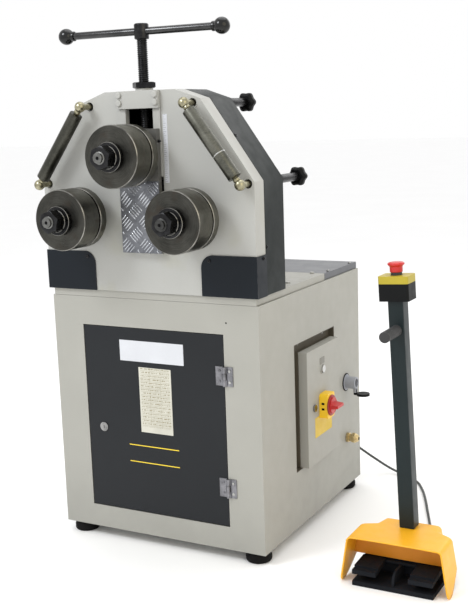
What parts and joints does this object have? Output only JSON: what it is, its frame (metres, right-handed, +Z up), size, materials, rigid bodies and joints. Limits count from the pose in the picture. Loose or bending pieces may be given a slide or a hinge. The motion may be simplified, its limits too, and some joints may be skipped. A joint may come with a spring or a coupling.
{
  "type": "ring roller",
  "caption": "Floor-standing ring roller: driven rolls on a thick front plate over a cabinet, hand press screw with T-bar, side guides, switch panel and pedal stand with stop button.",
  "frame": {"origin": "on the floor below the middle of the box around everything but the control cable", "axes": "+Z up, front towards -Y, pedal stand towards +X"},
  "size_m": [1.0882, 0.9705, 1.3453],
  "materials": {
    "cream_paint": "satin",
    "grey_paint": "satin",
    "door_paint": "satin",
    "dark_steel": "oiled",
    "black_steel": "blackened",
    "bright_steel": "satin",
    "aluminium": "bright",
    "brass": "satin",
    "black_rubber": "matte",
    "black_plastic": "matte",
    "grey_plastic": "matte",
    "yellow_plastic": "gloss",
    "shield_plastic": "gloss",
    "red_plastic": "gloss",
    "cable_rubber": "matte"
  },
  "bodies": {
    "cabinet": {"cabinet_shell": "cream_paint", "top_plate": "cream_paint", "rear_lid": "grey_paint", "foot_front_left": "black_rubber", "foot_front_right": "black_rubber", "foot_rear_left": "black_rubber", "foot_rear_right": "black_rubber", "lower_door_hinge": "bright_steel", "upper_door_hinge": "bright_steel", "control_box": "grey_paint", "socket_body": "grey_plastic", "cable_gland": "black_plastic", "control_cable": "cable_rubber", "front_plate": "cream_paint", "gear_cover": "grey_paint", "left_corner_guard": "grey_paint", "right_corner_guard": "grey_paint", "screw_block": "cream_paint", "left_slide_rail": "cream_paint", "right_slide_rail": "cream_paint", "gearmotor": "grey_paint", "pedal_base": "black_plastic", "foot_shield": "shield_plastic", "column": "grey_paint", "stop_box": "black_plastic", "stop_lid": "yellow_plastic"},
    "cabinet_door": {"cabinet_door": "door_paint"},
    "door_lock": {"door_lock": "bright_steel"},
    "panel_door": {"panel_door": "cream_paint", "main_switch_body": "yellow_plastic"},
    "start_button": {"start_button": "bright_steel"},
    "main_switch_knob": {"main_switch_knob": "red_plastic"},
    "panel_lock": {"panel_lock": "bright_steel"},
    "socket_cap": {"socket_cap": "black_plastic"},
    "lock_nut": {"lock_nut": "black_steel"},
    "top_slide": {"top_slide": "dark_steel", "checker_plate": "aluminium"},
    "press_screw": {"press_screw": "black_steel", "tommy_bar": "black_steel"},
    "top_roll_set": {"top_shaft": "black_steel", "top_roll": "dark_steel", "top_roll_nut": "black_steel"},
    "left_roll_set": {"left_shaft": "black_steel", "left_roll": "dark_steel", "left_roll_nut": "black_steel"},
    "right_roll_set": {"right_shaft": "black_steel", "right_roll": "dark_steel", "right_roll_nut": "black_steel"},
    "drive_pinion": {"drive_pinion": "dark_steel"},
    "left_pedal": {"left_pedal": "black_plastic"},
    "right_pedal": {"right_pedal": "black_plastic"},
    "stop_button": {"stop_button": "red_plastic"},
    "left_guide": {"left_guide_axle": "brass"},
    "left_guide_roller": {"left_guide_roller": "dark_steel"},
    "left_upper_rod": {"left_upper_rod": "black_steel"},
    "left_lower_rod": {"left_lower_rod": "black_steel"},
    "right_guide": {"right_guide_axle": "brass"},
    "right_guide_roller": {"right_guide_roller": "dark_steel"},
    "right_upper_rod": {"right_upper_rod": "black_steel"},
    "right_lower_rod": {"right_lower_rod": "black_steel"}
  },
  "joints": [
    {"name": "left_roll_spin", "type": "hinge", "parent": "cabinet", "child": "left_roll_set", "pos_m": [-0.38736, -0.33515, 0.878], "axis": [0, 1, 0], "continuous": true},
    {"name": "right_roll_spin", "type": "hinge", "parent": "cabinet", "child": "right_roll_set", "pos_m": [-0.06736, -0.33515, 0.878], "axis": [0, 1, 0], "continuous": true},
    {"name": "pinion_spin", "type": "hinge", "parent": "cabinet", "child": "drive_pinion", "pos_m": [-0.22736, -0.18355, 0.8206], "axis": [0, 1, 0], "continuous": true},
    {"name": "top_slide_travel", "type": "slide", "parent": "cabinet", "child": "top_slide", "axis": [0, 0, 1], "range_m": [-0.05, 0.044]},
    {"name": "top_roll_spin", "type": "hinge", "parent": "top_slide", "child": "top_roll_set", "pos_m": [-0.22736, -0.33515, 1.03], "axis": [0, 1, 0], "continuous": true},
    {"name": "press_screw_turn", "type": "hinge", "parent": "top_slide", "child": "press_screw", "pos_m": [-0.22736, -0.22155, 1.188], "axis": [0, 0, 1], "range_deg": [-3599, 3167]},
    {"name": "lock_nut_turn", "type": "hinge", "parent": "cabinet", "child": "lock_nut", "pos_m": [-0.22736, -0.22155, 1.197], "axis": [0, 0, 1], "range_deg": [0, 90]},
    {"name": "cabinet_door_hinge", "type": "hinge", "parent": "cabinet", "child": "cabinet_door", "pos_m": [-0.01836, -0.24605, 0.3405], "axis": [0, 0, 1], "range_deg": [0, 110]},
    {"name": "door_lock_turn", "type": "hinge", "parent": "cabinet_door", "child": "door_lock", "pos_m": [-0.39186, -0.23955, 0.3145], "axis": [0, 1, 0], "range_deg": [0, 90]},
    {"name": "panel_door_hinge", "type": "hinge", "parent": "cabinet", "child": "panel_door", "pos_m": [0.09614, 0.20545, 0.3445], "axis": [0, 0, 1], "range_deg": [0, 110]},
    {"name": "panel_lock_turn", "type": "hinge", "parent": "panel_door", "child": "panel_lock", "pos_m": [0.09814, 0.03345, 0.342], "axis": [1, 0, 0], "range_deg": [0, 90]},
    {"name": "main_switch_turn", "type": "hinge", "parent": "panel_door", "child": "main_switch_knob", "pos_m": [0.09814, 0.08895, 0.339], "axis": [-1, 0, 0], "range_deg": [0, 90]},
    {"name": "start_button_press", "type": "slide", "parent": "panel_door", "child": "start_button", "axis": [-1, 0, 0], "range_m": [0, 0.004], "stiffness_N_per_m": 500, "springref_m": -0.002},
    {"name": "socket_cap_hinge", "type": "hinge", "parent": "cabinet", "child": "socket_cap", "pos_m": [0.10744, 0.30545, 0.322], "axis": [0, 1, 0], "range_deg": [-90, 30]},
    {"name": "left_pedal_press", "type": "hinge", "parent": "cabinet", "child": "left_pedal", "pos_m": [0.34014, -0.17255, 0.043], "axis": [1, 0, 0], "range_deg": [0, 8], "stiffness_Nm_per_rad": 3, "springref_deg": -5.73},
    {"name": "right_pedal_press", "type": "hinge", "parent": "cabinet", "child": "right_pedal", "pos_m": [0.47914, -0.17255, 0.043], "axis": [1, 0, 0], "range_deg": [0, 8], "stiffness_Nm_per_rad": 3, "springref_deg": -5.73},
    {"name": "stop_button_press", "type": "slide", "parent": "cabinet", "child": "stop_button", "axis": [0.0471, 0, -0.9989], "range_m": [0, 0.006]},
    {"name": "left_guide_travel", "type": "slide", "parent": "cabinet", "child": "left_guide", "axis": [0, -1, 0], "range_m": [-0.012, 0.08]},
    {"name": "left_guide_roller_spin", "type": "hinge", "parent": "left_guide", "child": "left_guide_roller", "pos_m": [-0.44736, -0.28655, 1.054], "axis": [0.5946, 0, 0.804], "continuous": true},
    {"name": "left_upper_rod_turn", "type": "hinge", "parent": "left_guide", "child": "left_upper_rod", "pos_m": [-0.37636, -0.11455, 1.15], "axis": [0, -1, 0], "range_deg": [-1081, 7201]},
    {"name": "left_lower_rod_turn", "type": "hinge", "parent": "left_guide", "child": "left_lower_rod", "pos_m": [-0.51836, -0.11455, 0.958], "axis": [0, -1, 0], "range_deg": [-1081, 7201]},
    {"name": "right_guide_travel", "type": "slide", "parent": "cabinet", "child": "right_guide", "axis": [0, -1, 0], "range_m": [-0.012, 0.08]},
    {"name": "right_guide_roller_spin", "type": "hinge", "parent": "right_guide", "child": "right_guide_roller", "pos_m": [-0.00736, -0.28655, 1.054], "axis": [-0.5946, 0, 0.804], "continuous": true},
    {"name": "right_upper_rod_turn", "type": "hinge", "parent": "right_guide", "child": "right_upper_rod", "pos_m": [-0.07836, -0.11455, 1.15], "axis": [0, -1, 0], "range_deg": [-1081, 7201]},
    {"name": "right_lower_rod_turn", "type": "hinge", "parent": "right_guide", "child": "right_lower_rod", "pos_m": [0.06364, -0.11455, 0.958], "axis": [0, -1, 0], "range_deg": [-1081, 7201]}
  ],
  "couplings": [
    {"joint": "right_roll_spin", "follows": "left_roll_spin", "ratio": 1},
    {"joint": "pinion_spin", "follows": "left_roll_spin", "ratio": -1.8333},
    {"joint": "top_slide_travel", "follows": "press_screw_turn", "m_per_rad": 0.00079577},
    {"joint": "left_upper_rod_turn", "follows": "left_guide_travel", "rad_per_m": 1570.8},
    {"joint": "left_lower_rod_turn", "follows": "left_guide_travel", "rad_per_m": 1570.8},
    {"joint": "right_upper_rod_turn", "follows": "right_guide_travel", "rad_per_m": 1570.8},
    {"joint": "right_lower_rod_turn", "follows": "right_guide_travel", "rad_per_m": 1570.8}
  ]
}
